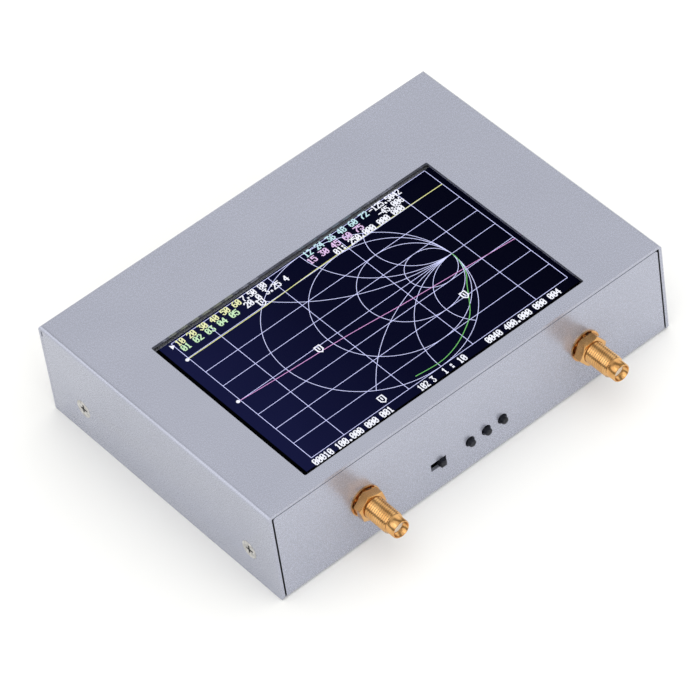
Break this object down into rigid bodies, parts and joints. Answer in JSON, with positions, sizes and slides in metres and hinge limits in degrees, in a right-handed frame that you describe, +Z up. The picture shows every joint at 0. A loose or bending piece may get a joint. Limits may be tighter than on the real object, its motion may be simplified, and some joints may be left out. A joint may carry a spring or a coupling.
{
  "type": "antenna analyzer",
  "caption": "Handheld antenna analyzer in a folded sheet-metal case with a touch screen, coaxial jacks, push buttons and a slide switch.",
  "frame": {"origin": "centre of the case's flat underside, halfway between the front panel's face and the back wall's face", "axes": "+X to the right along the front panel, +Y from the front panel to the back, +Z up out of the screen"},
  "size_m": [0.1324, 0.1096, 0.0316],
  "materials": {
    "powder_coat": "fine matt powder coat",
    "bright_steel": "bright nickel plate",
    "zinc_steel": "zinc plate",
    "nickel_brass": "nickel plate",
    "gold_plate": "polished gold plate",
    "white_insulator": "waxy white",
    "black_plastic": "moulded, low sheen",
    "tinned_metal": "tinned",
    "board_laminate": "solder mask",
    "screen_glass": "glossy",
    "liquid_crystal": "lit picture under glass",
    "light_guide": "frosted",
    "foam": "closed-cell foam",
    "amber_film": "thin film",
    "ivory_plastic": "moulded",
    "ceramic_chip": "fired",
    "cell_foil": "laminated foil",
    "wire_jacket": "silicone jacket"
  },
  "bodies": {
    "case": {"backlight_guide": "light_guide", "battery_cell": "cell_foil", "battery_lead": "wire_jacket", "battery_pad": "foam", "battery_plug": "ivory_plastic", "battery_socket": "ivory_plastic", "button_domes": "zinc_steel", "button_housing_left": "black_plastic", "button_housing_middle": "black_plastic", "button_housing_right": "black_plastic", "button_legs": "tinned_metal", "chassis_tray": "powder_coat", "chip_capacitors": "ceramic_chip", "display_bezel": "tinned_metal", "display_board": "board_laminate", "display_gasket": "foam", "display_glass": "liquid_crystal", "display_ribbon": "amber_film", "display_screws": "bright_steel", "display_tape": "foam", "flange_nuts": "zinc_steel", "floor_screws": "bright_steel", "guard_board": "board_laminate", "jack_body_left": "gold_plate", "jack_body_right": "gold_plate", "jack_contact_left": "gold_plate", "jack_contact_right": "gold_plate", "jack_insulator_left": "white_insulator", "jack_insulator_right": "white_insulator", "jack_nut_left": "gold_plate", "jack_nut_right": "gold_plate", "jack_washer_left": "gold_plate", "jack_washer_right": "gold_plate", "key_board": "board_laminate", "key_header": "black_plastic", "link_header": "black_plastic", "link_socket": "black_plastic", "lower_posts": "nickel_brass", "main_board": "board_laminate", "oscillator_can": "tinned_metal", "power_inductor": "black_plastic", "processor_chip": "black_plastic", "ribbon_connector": "ivory_plastic", "shield_can_left": "tinned_metal", "shield_can_right": "tinned_metal", "side_screws": "bright_steel", "switch_base": "black_plastic", "switch_frame": "zinc_steel", "switch_terminals": "tinned_metal", "synthesiser_chips": "black_plastic", "top_cover": "powder_coat", "touch_panel": "screen_glass", "upper_posts": "nickel_brass", "usb_shell": "tinned_metal", "usb_tongue": "black_plastic"},
    "lever": {"power_switch_lever": "black_plastic"},
    "button_left": {"button_plunger_left": "black_plastic"},
    "button_middle": {"button_plunger_middle": "black_plastic"},
    "button_right": {"button_plunger_right": "black_plastic"}
  },
  "joints": [
    {"name": "lever_slide", "type": "slide", "parent": "case", "child": "lever", "axis": [1, 0, 0], "range_m": [-0.002, 0]},
    {"name": "button_left_press", "type": "slide", "parent": "case", "child": "button_left", "axis": [0, 1, 0], "range_m": [0, 0.00025], "stiffness_N_per_m": 6400},
    {"name": "button_middle_press", "type": "slide", "parent": "case", "child": "button_middle", "axis": [0, 1, 0], "range_m": [0, 0.00025], "stiffness_N_per_m": 6400},
    {"name": "button_right_press", "type": "slide", "parent": "case", "child": "button_right", "axis": [0, 1, 0], "range_m": [0, 0.00025], "stiffness_N_per_m": 6400}
  ]
}
